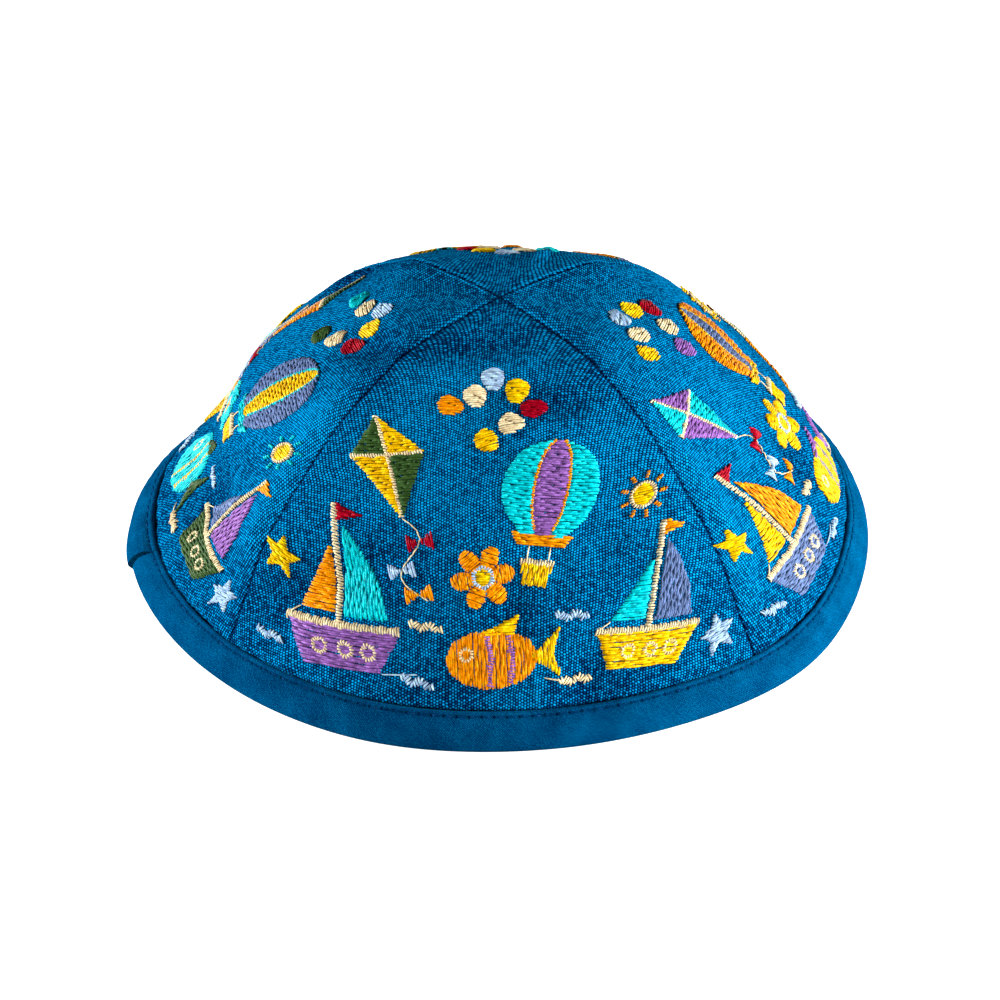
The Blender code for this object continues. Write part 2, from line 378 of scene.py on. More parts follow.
class Shader:
    """Short calls for building a material's nodes."""

    def __init__(self, name, roughness, **values):
        self.material = bpy.data.materials.new(name)
        self.material.use_nodes = True
        self.tree = self.material.node_tree
        self.shader = self.tree.nodes["Principled BSDF"]
        self.shader.inputs["Roughness"].default_value = roughness
        for socket, value in values.items():
            self.shader.inputs[socket.replace("_", " ")].default_value = value

    def node(self, kind, output=0, settings=None, **inputs):
        made = self.tree.nodes.new(kind)
        for key, value in (settings or {}).items():
            setattr(made, key, value)
        for key, value in inputs.items():
            socket = made.inputs[int(key[1:]) if key[0] == "i" and key[1:].isdigit() else key]
            if isinstance(value, bpy.types.NodeSocket):
                self.tree.links.new(value, socket)
            else:
                socket.default_value = value
        return made.outputs[output]

    def math(self, operation, *values, clamp=False):
        inputs = {f"i{place}": value for place, value in enumerate(values)}
        settings = {"operation": operation, "use_clamp": clamp}
        return self.node("ShaderNodeMath", settings=settings, **inputs)

    plus = partialmethod(math, "ADD")
    minus = partialmethod(math, "SUBTRACT")
    times = partialmethod(math, "MULTIPLY")
    over = partialmethod(math, "DIVIDE")

    def uv(self):
        place = self.node("ShaderNodeUVMap")
        apart = self.tree.nodes.new("ShaderNodeSeparateXYZ")
        self.tree.links.new(place, apart.inputs[0])
        return apart.outputs[0], apart.outputs[1]

    def at(self, x, y, z=0.0):
        return self.node("ShaderNodeCombineXYZ", X=x, Y=y, Z=z)

    def noise(self, vector, scale, detail=2.0, roughness=0.5):
        return self.node(
            "ShaderNodeTexNoise", Vector=vector, Scale=scale, Detail=detail, Roughness=roughness
        )

    def ramp(self, value, *stops):
        made = self.tree.nodes.new("ShaderNodeValToRGB")
        self.tree.links.new(value, made.inputs[0])
        elements = made.color_ramp.elements
        while len(elements) < len(stops):
            elements.new(0.5)
        for element, (place, colour) in zip(elements, stops):
            element.position = place
            element.color = (*colour, 1)
        return made.outputs[0]

    def mix(self, share, first, second):
        made = self.tree.nodes.new("ShaderNodeMix")
        made.data_type = "RGBA"
        for socket, value in ((0, share), (6, first), (7, second)):
            if isinstance(value, bpy.types.NodeSocket):
                self.tree.links.new(value, made.inputs[socket])
            elif socket:
                made.inputs[socket].default_value = (*value, 1)
            else:
                made.inputs[socket].default_value = value
        return made.outputs[2]

    def colour(self, value):
        self.tree.links.new(value, self.shader.inputs["Base Color"])

    def bump(self, height, distance, strength=1.0):
        made = self.node("ShaderNodeBump", Height=height, Distance=distance, Strength=strength)
        self.tree.links.new(made, self.shader.inputs["Normal"])


# The weave: how far apart its columns and rows of floats are, how steeply a float falls off
# across and along itself, and how far its lines stray
FLOAT_COLUMN = 1.18
FLOAT_ROW = 0.62
FLOAT_FALL_ACROSS = 9.6
FLOAT_FALL_ALONG = 2.7
LINES_STRAY = 1.6
# The band round the cap, down from the apex, where a painted highlight makes the cloth a little
# lighter
LIGHT_BAND_DOWN = 49.0
LIGHT_BAND_WIDTH = 34.0
LIGHT_BAND = 0.15
# Colour of the painted shade in the crease just above the tape
PAINTED_CREASE_SHADE = (0.0, 0.006, 0.02)


def cloth_material(name, dark, middle, bright, grain):
    """Plain weave: bright floats in offset rows over dark threads, with slubs and a sheen, and
    painted light: a lighter band, painted fold and seam shade and highlight, and painted shade in
    the crease above the tape.
    """
    cloth = Shader(name, 0.7, Sheen_Weight=0.06, Sheen_Roughness=0.35, Specular_IOR_Level=0.0)
    cloth.shader.inputs["Sheen Tint"].default_value = (0.0, 0.5, 1.0, 1)
    flat_u, flat_v = cloth.uv()
    cosine, sine = math.cos(math.radians(grain)), math.sin(math.radians(grain))
    u = cloth.plus(cloth.times(flat_u, cosine), cloth.times(flat_v, sine))
    v = cloth.minus(cloth.times(flat_v, cosine), cloth.times(flat_u, sine))
    wander = cloth.noise(cloth.at(u, v), 0.12, 2)
    wander = cloth.times(cloth.minus(wander, 0.5), LINES_STRAY)
    column = cloth.over(cloth.plus(u, wander), FLOAT_COLUMN)
    row = cloth.over(cloth.plus(v, wander), FLOAT_ROW)

    def floats(shift):
        x = cloth.minus(cloth.math("FRACT", cloth.plus(column, shift)), 0.5)
        y = cloth.minus(cloth.math("FRACT", cloth.plus(row, shift)), 0.5)
        x = cloth.times(cloth.times(x, x), FLOAT_FALL_ACROSS)
        y = cloth.times(cloth.times(y, y), FLOAT_FALL_ALONG)
        return cloth.minus(1.0, cloth.plus(x, y), clamp=True)

    one, other = floats(0.0), floats(0.5)
    hump = cloth.math("MAXIMUM", one, other)
    half = cloth.times(cloth.math("GREATER_THAN", other, one), 0.5)
    single = cloth.node(
        "ShaderNodeTexWhiteNoise",
        Vector=cloth.at(
            cloth.math("FLOOR", cloth.plus(column, half)),
            cloth.plus(cloth.math("FLOOR", cloth.plus(row, half)), half),
        ),
    )
    slub = cloth.noise(cloth.at(cloth.times(u, 0.09), v), 1.7, 2)
    end = cloth.noise(cloth.at(u, cloth.times(v, 0.07)), 1.3, 2)
    cloud = cloth.noise(cloth.at(u, v), 0.09, 3)
    lift = cloth.plus(cloth.times(slub, 0.08), cloth.times(end, 0.2))
    lift = cloth.plus(lift, cloth.times(cloud, 0.05))
    lift = cloth.plus(lift, cloth.times(single, 0.34))
    lift = cloth.times(cloth.minus(lift, 0.335), 1.2)
    drop = cloth.node("ShaderNodeAttribute", output=2, settings={"attribute_name": "drop"})
    # Painted highlight in a band round the cap
    painted_highlight_band = cloth.over(cloth.minus(drop, LIGHT_BAND_DOWN), LIGHT_BAND_WIDTH)
    painted_highlight_band = cloth.times(cloth.times(painted_highlight_band, painted_highlight_band), -1.0)
    painted_highlight_band = cloth.times(cloth.math("EXPONENT", painted_highlight_band), LIGHT_BAND)
    lift = cloth.plus(lift, painted_highlight_band)
    # Painted shade and highlight of the folds and seams, with a little random tone
    painted_light_and_tone = cloth.node("ShaderNodeAttribute", output=2, settings={"attribute_name": "tone_and_painted_light"})
    lift = cloth.plus(lift, painted_light_and_tone)
    level = cloth.times(hump, cloth.plus(lift, 0.72))
    colour = cloth.ramp(level, (0.26, dark), (0.49, middle), (0.85, bright))
    # Painted shade: the cloth darkens towards the crease colour over its last stretch above the
    # tape's edge
    past = cloth.over(cloth.minus(drop, TAPE_TOP - 0.75), 0.6, clamp=True)
    cloth.colour(cloth.mix(cloth.times(past, 0.93), colour, PAINTED_CREASE_SHADE))
    height = cloth.plus(hump, cloth.times(slub, 0.5))
    cloth.bump(height, 0.00016)
    return cloth.material


# Threads of the tape to a millimetre of u and v together
TAPE_THREADS = 1.9


def tape_material():
    """Fine cloth cut on the bias, so its threads slant, with painted light: lighter towards the
    cap's left and right, and painted shade in the stitch holes, along the stitch line and in the
    crease at its edge.
    """
    tape = Shader("bias_tape", 0.7, Sheen_Weight=0.16, Sheen_Roughness=0.4, Specular_IOR_Level=0.0)
    tape.shader.inputs["Sheen Tint"].default_value = (0.0, 0.55, 0.9, 1)
    u, v = tape.uv()
    slant = tape.plus(u, v)
    across = tape.minus(u, v)
    line = tape.math("PINGPONG", tape.times(slant, TAPE_THREADS), 0.5)
    pick = tape.math("PINGPONG", tape.times(across, TAPE_THREADS), 0.5)
    patch = tape.noise(tape.at(u, v), 0.11, 1)
    patch = tape.times(tape.minus(patch, 0.46), 6.0, clamp=True)
    patch = tape.plus(tape.times(patch, 0.5), 0.5)
    weave = tape.times(tape.minus(line, 0.25), patch)
    weave = tape.plus(weave, tape.times(tape.minus(pick, 0.25), 0.8))
    cloud = tape.noise(tape.at(u, v), 0.16, 3)
    streak = tape.noise(tape.at(tape.times(slant, 0.14), across), 1.4, 2)
    fleck = tape.noise(tape.at(u, v), 3.2, 3, 0.75)
    tone_and_painted_light = tape.plus(tape.times(cloud, 0.2), tape.times(streak, 0.1))
    tone_and_painted_light = tape.plus(tone_and_painted_light, tape.times(fleck, 0.7))
    tone_and_painted_light = tape.plus(tone_and_painted_light, tape.times(weave, 0.3))
    # Painted light: the tape is lighter at the cap's left and right sides, most on the right
    azimuth = tape.plus(tape.over(u, RIM_RADIUS), math.radians(LAP_AZIMUTH))
    side = tape.math("COSINE", azimuth)
    painted_side_light = tape.times(tape.times(side, side), 0.037)
    painted_side_light = tape.plus(painted_side_light, tape.times(side, 0.018))
    tone_and_painted_light = tape.plus(tone_and_painted_light, painted_side_light)
    colour = tape.ramp(
        tone_and_painted_light,
        (0.40, (0.0, 0.016, 0.062)),
        (0.52, (0.0, 0.046, 0.138)),
        (0.66, (0.0, 0.138, 0.32)),
    )
    # Painted shade: dark in the stitch holes, along the stitch line and in the crease at the tape's
    # top edge
    turn = tape.plus(tape.over(u, STITCH_PITCH), 0.5 - STITCH_START)
    along = tape.minus(tape.math("FRACT", turn), 0.5)
    along = tape.times(along, STITCH_PITCH)
    wobble = tape.minus(tape.noise(tape.at(u, 0.0), 0.45, 2), 0.5)
    wobble = tape.times(wobble, 0.5)
    aside = tape.minus(v, tape.plus(wobble, STITCH_ACROSS))
    hole = tape.plus(tape.times(along, along), tape.times(aside, aside))
    hole = tape.minus(1.0, tape.over(hole, 0.3), clamp=True)
    pull = tape.times(tape.noise(tape.at(u, 7.0), 0.6, 2), 2.0)
    hole = tape.times(hole, pull, clamp=True)
    groove = tape.over(tape.math("ABSOLUTE", aside), 0.5, clamp=True)
    groove = tape.times(tape.minus(1.0, groove), 0.45)
    edge = tape.minus(1.0, tape.over(v, 0.75), clamp=True)
    painted_shade = tape.math("MAXIMUM", tape.math("MAXIMUM", hole, groove), edge)
    tape.colour(tape.mix(tape.times(painted_shade, 0.95), colour, (0.0, 0.006, 0.025)))
    tape.bump(tape.plus(line, fleck), 0.00006)
    return tape.material


def thread_material(name, colour, gloss=0.3):
    """Twisted rayon: strands along it with painted shade between them, painted shade on its rounded
    sides, and each stitch its own tone.
    """
    thread = Shader(name, 0.38, Sheen_Weight=0.0, Specular_IOR_Level=gloss)
    thread.shader.inputs["Specular Tint"].default_value = (*colour, 1)
    u, v = thread.uv()
    twist = thread.math("FRACT", thread.plus(thread.times(u, 1.5), v))
    strand = thread.math("PINGPONG", twist, 0.5)
    shade = thread.noise(thread.at(u, 0.0), 0.5, 3)
    dark = tuple(part * 0.4 for part in colour)
    bright = tuple(min(1.0, part * 1.7 + 0.01) for part in colour)
    base = thread.ramp(shade, (0.34, dark), (0.5, colour), (0.64, bright))
    # Painted shade between the twisted strands
    base = thread.mix(thread.times(strand, 0.55), base, dark)
    # Painted shade: the thread darkens towards a deep copy of its colour at its sides
    side = thread.times(thread.math("PINGPONG", v, 0.5), 3.2, clamp=True)
    deep = tuple(part * 0.12 for part in colour)
    thread.colour(thread.mix(side, deep, base))
    thread.bump(strand, 0.00006, 0.7)
    return thread.material


def linear(red, green, blue):
    """A colour written as it looks on a screen, from 0 to 255."""
    shares = (value / 255 for value in (red, green, blue))
    return tuple(s / 12.92 if s <= 0.04045 else ((s + 0.055) / 1.055) ** 2.4 for s in shares)


THREADS = {
    "orange": linear(255, 148, 0),
    "purple": linear(142, 94, 170),
    "turquoise": linear(0, 206, 218),
    "gold": linear(250, 190, 0),
    "green": linear(54, 84, 38),
    "slate": linear(96, 118, 164),
    "sky": linear(168, 200, 236),
    "cream": linear(240, 216, 168),
    "red": linear(166, 0, 30),
    "yellow": linear(246, 194, 0),
}

# Stitches

# What a thread's section looks like: across it, and out from the cloth, in its radii.
THREAD_SECTION = np.array([(-1.0, -0.2), (-0.72, 0.62), (0.0, 0.95), (0.72, 0.62), (1.0, -0.2)])


class Stitches:
    """Straight stitches of one thread, on a surface with two coordinates."""

    def __init__(self):
        self.rows = []

    def add(self, starts, ends, radius, lift, arch, group=0):
        """Group is the azimuth of the panel's middle, where the surface is a panel."""
        starts, ends = np.atleast_2d(starts), np.atleast_2d(ends)
        count = len(starts)
        if count:
            same = np.tile([radius, lift, arch, group], (count, 1))
            self.rows.append(np.hstack([starts, ends, same]))

    def mesh(self, place, sections=5):
        """Points, faces and UVs, where place gives the point at coordinates and height."""
        data = np.vstack(self.rows)
        start, end = data[:, None, 0:2], data[:, None, 2:4]
        radius, lift, arch, group = (data[:, 4 + i, None, None] for i in range(4))
        share = np.linspace(0, 1, sections)[None, :, None]
        line = end - start
        length = np.maximum(np.linalg.norm(line, axis=-1, keepdims=True), 1e-6)
        side = np.concatenate([-line[..., 1:], line[..., :1]], -1) / length
        bow = 1 - np.abs(2 * share - 1) ** 3
        centre = start + line * share
        thin = 0.72 + 0.28 * bow
        out = lift + arch * bow - (1 - bow) * 0.17
        across = centre[:, :, None, :] + side[:, :, None, :] * (
            THREAD_SECTION[None, None, :, :1] * (radius * thin)[..., None]
        )
        height = out + THREAD_SECTION[None, None, :, 1] * radius * thin
        groups = np.broadcast_to(group, height.shape)
        points = place(groups, across[..., 0], across[..., 1], height)
        count, corners = len(data), len(THREAD_SECTION)
        strip = grid_faces(sections, corners)
        faces = strip[None] + (np.arange(count) * sections * corners)[:, None, None]
        own = rng.uniform(0, 900, count)[:, None, None]
        along = own + share * length
        uvs = np.stack(
            np.broadcast_arrays(along, np.linspace(0, 1, corners)[None, None, :]), -1
        )
        return points.reshape(-1, 3), faces.reshape(-1, 4), uvs.reshape(-1, 2)


# Rows of a filled shape and stitches of a satin line, from one to the next, and thread radii
FILL_PITCH = 0.49
SATIN_PITCH = 0.56
THREAD_RADIUS = 0.295
SATIN_RADIUS = 0.25
RUN_RADIUS = 0.17
TOPSTITCH_RADIUS = 0.2
TOPSTITCH_GAP = 0.6


def turn_matrix(degrees):
    angle = math.radians(degrees)
    return np.array([[math.cos(angle), -math.sin(angle)], [math.sin(angle), math.cos(angle)]])


class Hoop:
    """Where a motif is sewn: a place on a panel, with the motif's own turn and size."""

    def __init__(self, middle, u, v, turn=0, size=1.0):
        self.middle, self.origin = middle, np.array([u, v], float)
        self.turn, self.size = turn_matrix(turn) * size, size

    def at(self, points):
        """From the motif's own x and y, y up to the apex, to the panel's u and v."""
        turned = np.asarray(points, float) @ self.turn.T
        return self.origin + turned * (1, -1)

    def sew(self, colour, starts, ends, radius=THREAD_RADIUS, lift=0.16, arch=0.2):
        if len(starts):
            WORK[colour].add(
                self.at(starts), self.at(ends), radius, lift, arch, self.middle
            )

    def fill(self, colour, outline, angle=0, lift=0.14, longest=3.6):
        """Rows of running stitches side by side, cut to an outline."""
        outline = np.asarray(outline, float)
        level = outline @ turn_matrix(-angle).T
        pitch = FILL_PITCH / self.size
        rows = np.arange(level[:, 1].min() + pitch / 2, level[:, 1].max(), pitch)
        starts, ends = [], []
        following = np.roll(level, -1, 0)
        for number, y in enumerate(rows):
            crossed = (level[:, 1] <= y) != (following[:, 1] <= y)
            first, second = level[crossed], following[crossed]
            if not len(first):
                continue
            share = (y - first[:, 1]) / (second[:, 1] - first[:, 1])
            cuts = np.sort(first[:, 0] + share * (second[:, 0] - first[:, 0]))
            for left, right in zip(cuts[::2], cuts[1::2]):
                left, right = (
                    left - rng.uniform(-0.08, 0.26),
                    right + rng.uniform(-0.08, 0.26),
                )
                if right - left < 0.4:
                    continue
                offset = (number * 1.37 + rng.uniform(-0.45, 0.45)) % longest
                marks = np.arange(left - offset, right, longest)
                marks = marks[(marks > left + 0.9) & (marks < right - 0.9)]
                marks = np.concatenate([[left], marks, [right]])
                tilt = rng.uniform(-0.13, 0.13, len(marks))
                line = np.stack([marks, y + tilt], -1)
                starts.append(line[:-1])
                ends.append(line[1:] + (0.12, 0))
        if starts:
            back = turn_matrix(angle).T
            self.sew(colour, np.vstack(starts) @ back, np.vstack(ends) @ back, lift=lift)

    def satin(self, colour, path, width, lift=0.22, arch=0.2, closed=False):
        """Short stitches across a line, close together, as a raised cord."""
        path = np.asarray(path, float)
        if closed:
            path = np.vstack([path, path[:1]])
        steps = np.linalg.norm(np.diff(path, axis=0), axis=1)
        lengths = np.concatenate([[0], np.cumsum(steps)])
        places = np.arange(0.1, lengths[-1], SATIN_PITCH / self.size)
        x, y = (np.interp(places, lengths, path[:, axis]) for axis in (0, 1))
        ahead = [np.interp(places + 0.3, lengths, path[:, axis]) for axis in (0, 1)]
        behind = [np.interp(places - 0.3, lengths, path[:, axis]) for axis in (0, 1)]
        line = np.stack([ahead[0] - behind[0], ahead[1] - behind[1]], -1)
        line /= np.maximum(np.linalg.norm(line, axis=1, keepdims=True), 1e-6)
        side = np.stack([-line[:, 1], line[:, 0]], -1)
        middle = np.stack([x, y], -1)
        ragged = rng.uniform(0.78, 1.28, (2, len(places), 1)) * width / 2
        slip = line * rng.uniform(-0.06, 0.2, (len(places), 1))
        self.sew(
            colour, middle - side * ragged[0] - slip, middle + side * ragged[1] + slip,
            radius=SATIN_RADIUS, lift=lift, arch=arch,
        )

    def disc(self, colour, x, y, radius, angle=0, lift=0.12):
        self.fill(colour, round_path(x, y, radius), angle, lift, longest=9)

    def ring(self, colour, x, y, radius, width):
        self.satin(colour, round_path(x, y, radius), width, closed=True)

    def run(self, colour, path, stitch=2.0, lift=0.08):
        """A single line of stitches, or one loose length of thread."""
        path = np.asarray(path, float)
        steps = np.linalg.norm(np.diff(path, axis=0), axis=1)
        lengths = np.concatenate([[0], np.cumsum(steps)])
        count = max(1, round(lengths[-1] / stitch))
        places = np.linspace(0, lengths[-1], count + 1)
        line = np.stack([np.interp(places, lengths, path[:, axis]) for axis in (0, 1)], -1)
        self.sew(colour, line[:-1], line[1:], radius=RUN_RADIUS, lift=lift, arch=0.15)


def round_path(x, y, radius, squash=1.0, count=40):
    angle = np.linspace(0, 2 * math.pi, count, endpoint=False)
    return np.stack([x + radius * np.cos(angle), y + radius * squash * np.sin(angle)], -1)


WORK = {name: Stitches() for name in THREADS}
STAR_RADIUS = 5.6

# Motifs


def sailboat(hoop, hull, sail, jib, flag):
    hoop.fill(hull, [(-10, 0), (10.4, 0), (6.6, -6.6), (-7, -6.6)], 0)
    hoop.fill(sail, [(1.0, 2.0), (1.2, 16.8), (4.2, 13.2), (7.2, 8.2), (8.8, 2.2)], 90)
    hoop.fill(jib, [(-1.0, 2.6), (-1.0, 13.6), (-7.6, 2.4)], 0)
    hoop.fill(flag, [(0.2, 20.4), (4.6, 19.0), (0.2, 17.6)], 0, lift=0.16)
    hoop.satin("cream", [(0, 0.6), (0, 20.4)], 1.15)
    hoop.satin("cream", [(-10.4, 0.4), (10.8, 0.4)], 1.4)
    for x in (-3.6, 1.0, 5.0):
        hoop.ring("cream", x, -3.4, 1.15, 0.9)
    hoop.run("cream", [(-7.8, 2.2), (-10.2, 0.6)], 4)


def balloon(hoop, side, middle, trim):
    height = np.linspace(0, math.pi, 18)
    swell = 8.4 * np.sin(height) ** 0.85
    y = 8.6 * np.cos(height)
    swell = np.where(y < -3, np.maximum(swell, 2.1 + (y + 11.6) * 0.64), swell)
    for low, high, colour in ((-1, -0.36, side), (-0.36, 0.36, middle), (0.36, 1, side)):
        left = np.stack([low * swell, y - 0.3 * abs(low)], -1)
        right = np.stack([high * swell, y - 0.3 * abs(high)], -1)
        hoop.fill(colour, np.vstack([left, right[::-1]]), 0)
    neck = float(swell[-1])
    hoop.fill(trim, [(-neck - 1.6, -8.4), (neck + 1.6, -8.4), (neck, -10.6), (-neck, -10.6)], 0)
    hoop.fill("gold", [(-2.7, -13.6), (2.7, -13.6), (2.1, -17.4), (-2.1, -17.4)], 90)
    hoop.satin("cream", [(-2.9, -13.5), (2.9, -13.5)], 1.2)
    for x in (-1.9, 1.9):
        hoop.run("cream", [(x, -10.6), (x, -13.4)], 3)
    for share in (-0.36, 0.36):
        hoop.satin(trim, np.stack([share * swell, y], -1)[1:-2], 0.8, lift=0.16, arch=0.16)


def kite(hoop, first, second, bows):
    top, left, right, low, cross = (0, 9.6), (-6.8, 2.4), (6.8, 2.4), (0, -9.2), (0, 2.4)
    hoop.fill(first, [top, left, cross], 0)
    hoop.fill(second, [top, cross, right], 0)
    hoop.fill(second, [left, low, cross], 0)
    hoop.fill(first, [cross, low, right], 0)
    hoop.satin("cream", [top, low], 1.0)
    hoop.satin("cream", [left, right], 1.0)
    x = np.linspace(0, 1, 24)
    tail = np.stack([2.6 * np.sin(x * 2.2 * math.pi), -9.2 - 15 * x], -1)
    hoop.run("cream", tail, 1.7)
    for place, colour in zip((7, 14, 21), bows):
        cx, cy = tail[place]
        hoop.fill(colour, [(cx - 2.6, cy + 1.5), (cx, cy), (cx - 2.6, cy - 1.5)], 90)
        hoop.fill(colour, [(cx + 2.6, cy + 1.5), (cx, cy), (cx + 2.6, cy - 1.5)], 90)


def fish(hoop, body, fins, stripe):
    outline = round_path(0, 0, 7.2, 0.62)
    hoop.fill(body, outline, 90)
    hoop.fill(fins, [(6.2, 0), (11.0, 4.0), (9.6, 0), (11.0, -4.0)], 90)
    hoop.fill(fins, [(-2, 4.0), (3.6, 3.8), (4.4, 6.8)], 0)
    for x in (-0.6, 2.8):
        reach = 4.46 * math.sqrt(1 - (x / 7.2) ** 2) - 0.4
        hoop.satin(stripe, [(x, -reach), (x + 0.5, 0), (x, reach)], 1.3)
    hoop.ring("cream", -4.0, 1.0, 0.95, 0.8)


def flower(hoop, petals, centre, ring):
    for turn in range(6):
        angle = math.radians(60 * turn + 12)
        petal = round_path(0, 0, 2.5, 0.74, 16) @ turn_matrix(-math.degrees(angle))
        petal = petal + (4.3 * math.cos(angle), 4.3 * math.sin(angle))
        hoop.fill(petals, petal, math.degrees(angle) + 90)
    hoop.disc(centre, 0, 0, 1.9)
    hoop.ring(ring, 0, 0, 2.1, 1.1)


def star(hoop, colour):
    angle = np.radians(90 + 36 * np.arange(10))
    reach = np.where(np.arange(10) % 2, STAR_RADIUS * 0.45, STAR_RADIUS)
    hoop.fill(colour, np.stack([reach * np.cos(angle), reach * np.sin(angle)], -1), 0)


def sun(hoop, disc, rays):
    hoop.disc(disc, 0, 0, 3.3)
    hoop.ring("cream", 0, 0, 3.5, 1.1)
    for turn in range(9):
        angle = math.radians(40 * turn)
        line = np.array([math.cos(angle), math.sin(angle)])
        hoop.satin(rays, [line * 4.9, line * 7.3], 1.1)


def ripple(hoop, colour):
    x = np.linspace(-2.9, 2.9, 9)
    hoop.satin(colour, np.stack([x, 0.5 * np.sin(x * 2.1)], -1), 1.3)


def dot(hoop, colour):
    """A small disc that is never quite round."""
    angle = np.linspace(0, 2 * math.pi, 40, endpoint=False)
    start = rng.uniform(0, 2 * math.pi, 2)
    uneven = 1 + 0.07 * np.sin(2 * angle + start[0]) + 0.06 * np.sin(3 * angle + start[1])
    outline = round_path(0, 0, 2.5) * uneven[:, None]
    hoop.fill(colour, outline, rng.uniform(-30, 30), 0.12, longest=9)


# Each panel's colours, in the order in which the motifs below call for them
Palette = namedtuple("Palette", "a b c d e f g")
PALETTES = {
    "front": Palette("purple", "turquoise", "orange", "gold", "green", "slate", "sky"),
    "right": Palette("slate", "orange", "gold", "purple", "turquoise", "green", "sky"),
    "back": Palette("green", "gold", "turquoise", "orange", "slate", "purple", "sky"),
    "left": Palette("gold", "slate", "turquoise", "green", "orange", "purple", "sky"),
}


def sew_panel(middle, p):
    """The same set of motifs on each panel, in that panel's colours."""

    def hoop(u, v, turn=0, size=1.0):
        return Hoop(middle, u, v, turn, size)

    sailboat(hoop(-31.5, 85.5, 5, 1.24), p.a, p.b, p.c, "red")
    sailboat(hoop(34, 85.5, -7, 1.1), p.d, p.f, p.b, "orange")
    fish(hoop(1, 88, 4, 1.32), p.c, p.d, p.a)
    kite(hoop(-21.5, 50, 15, 1.16), p.e, p.d, ("red", "sky", "orange"))
    balloon(hoop(12.5, 52, -9, 1.2), p.b, p.a, p.c)
    flower(hoop(-1.2, 71, 0, 0.98), p.c, "yellow", p.g)
    star(hoop(-45.5, 74.5, -14, 0.82), "yellow")
    sun(hoop(32, 57, 0, 0.72), "yellow", p.c)
    star(hoop(50.5, 90.5, 12, 0.8), p.g)
    for u, v, colour in (
        (-14.5, 93.5, "sky"), (-13, 82, "cream"), (18.5, 93, "cream"), (17.5, 79.5, "sky"),
        (-48.5, 92, "sky"),
    ):
        ripple(hoop(u, v, rng.uniform(-8, 8), 1.15), colour)
    for (u, v), across, along, colour in (
        ((-22, 93), 7.5, 1.0, p.g), ((12, 92), 6.0, -1.5, "cream"),
    ):
        hoop(u, v).run(colour, [(0, 0), (across, along)], 9, lift=0.2)
    for u, v, colour in (
        (-9.5, 34, p.c), (-4.2, 31, "cream"), (-0.6, 26.4, "sky"), (4.6, 29.2, "yellow"),
        (8.2, 33.6, "red"), (3.6, 37.4, "cream"), (-1.4, 41.6, p.d),
    ):
        dot(hoop(u, v), colour)


for panel, middle in PANEL_MIDDLES.items():
    sew_panel(middle, PALETTES[panel])

# Panels

# How far each panel's threads are turned from its middle line, in degrees
GRAINS = {"front": 0, "right": 8, "back": 3, "left": -12}
CLOTH = {
    panel: cloth_material(
        f"woven_cloth_{panel}",
        dark=(0.0, 0.003, 0.020),
        middle=(0.0, 0.048, 0.165),
        bright=(0.0, 0.37, 0.81),
        grain=GRAINS[panel],
    )
    for panel in PANEL_MIDDLES
}
OUTER_COLUMNS, INNER_COLUMNS, PANEL_ROWS = 161, 31, 150
# How closely the columns crowd toward the seams, and the rows toward the hem
COLUMN_CROWDING = 0.45 * math.pi
ROW_CROWDING = 0.92


def add_panel(panel, middle):
    """One gore with its two faces and its raw lower edge, which the tape hides."""
    spread = np.linspace(-1, 1, OUTER_COLUMNS)
    outer = 45 * np.sin(spread * COLUMN_CROWDING) / math.sin(COLUMN_CROWDING)
    inner = np.linspace(45, -45, INNER_COLUMNS)
    azimuth = middle + np.concatenate([outer, inner])
    depth = np.concatenate([np.zeros(OUTER_COLUMNS), np.full(INNER_COLUMNS, CLOTH_WALL)])
    down = EDGE_DOWN * np.linspace(0, 1, PANEL_ROWS) ** ROW_CROWDING
    azimuths, downs = np.meshgrid(azimuth, down)
    points = cloth_point(azimuths, downs, depth=depth[None, :])
    top = shifted(np.array(0.0), np.array(0.0), np.array(CROWN_HEIGHT))
    points[0] = top - np.array([0, 0, 1.0]) * depth[:, None]
    closing = cloth_point(azimuth, np.full(azimuth.shape, EDGE_DOWN), depth=CLOTH_WALL)
    points = np.vstack([points, closing[None]])
    reach = np.interp(downs, DOWNS, MIDDLE_REACH) * RIM_RADIUS
    drop = np.interp(downs, DOWNS, ARC)
    angle = np.radians(azimuths - middle) * reach / np.maximum(drop, 1e-6)
    uvs = np.stack([drop * np.sin(angle), drop * np.cos(angle)], -1)
    uvs = np.vstack([uvs, uvs[-1:]])
    faces = grid_faces(PANEL_ROWS + 1, len(azimuth), wrap_columns=True)[:, ::-1]
    piece = new_piece(
        f"cloth_{panel}", points, faces, CLOTH[panel], uvs.reshape(-1, 2), sharp=0
    )
    for name, values in (("tone_and_painted_light", tone_and_painted_light(azimuths, downs)), ("drop", drop)):
        layer = piece.data.attributes.new(name, "FLOAT", "POINT")
        values = np.vstack([values, values[-1:]])
        layer.data.foreach_set("value", values.astype(np.float32).ravel())
    weld(piece)
    piece.data.set_sharp_from_angle(angle=math.radians(60))
    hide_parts(f"panel_{panel}")


for panel, middle in PANEL_MIDDLES.items():
    add_panel(panel, middle)

# Binding

TAPE_TURNS = 620
TAPE_STEP = 0.35


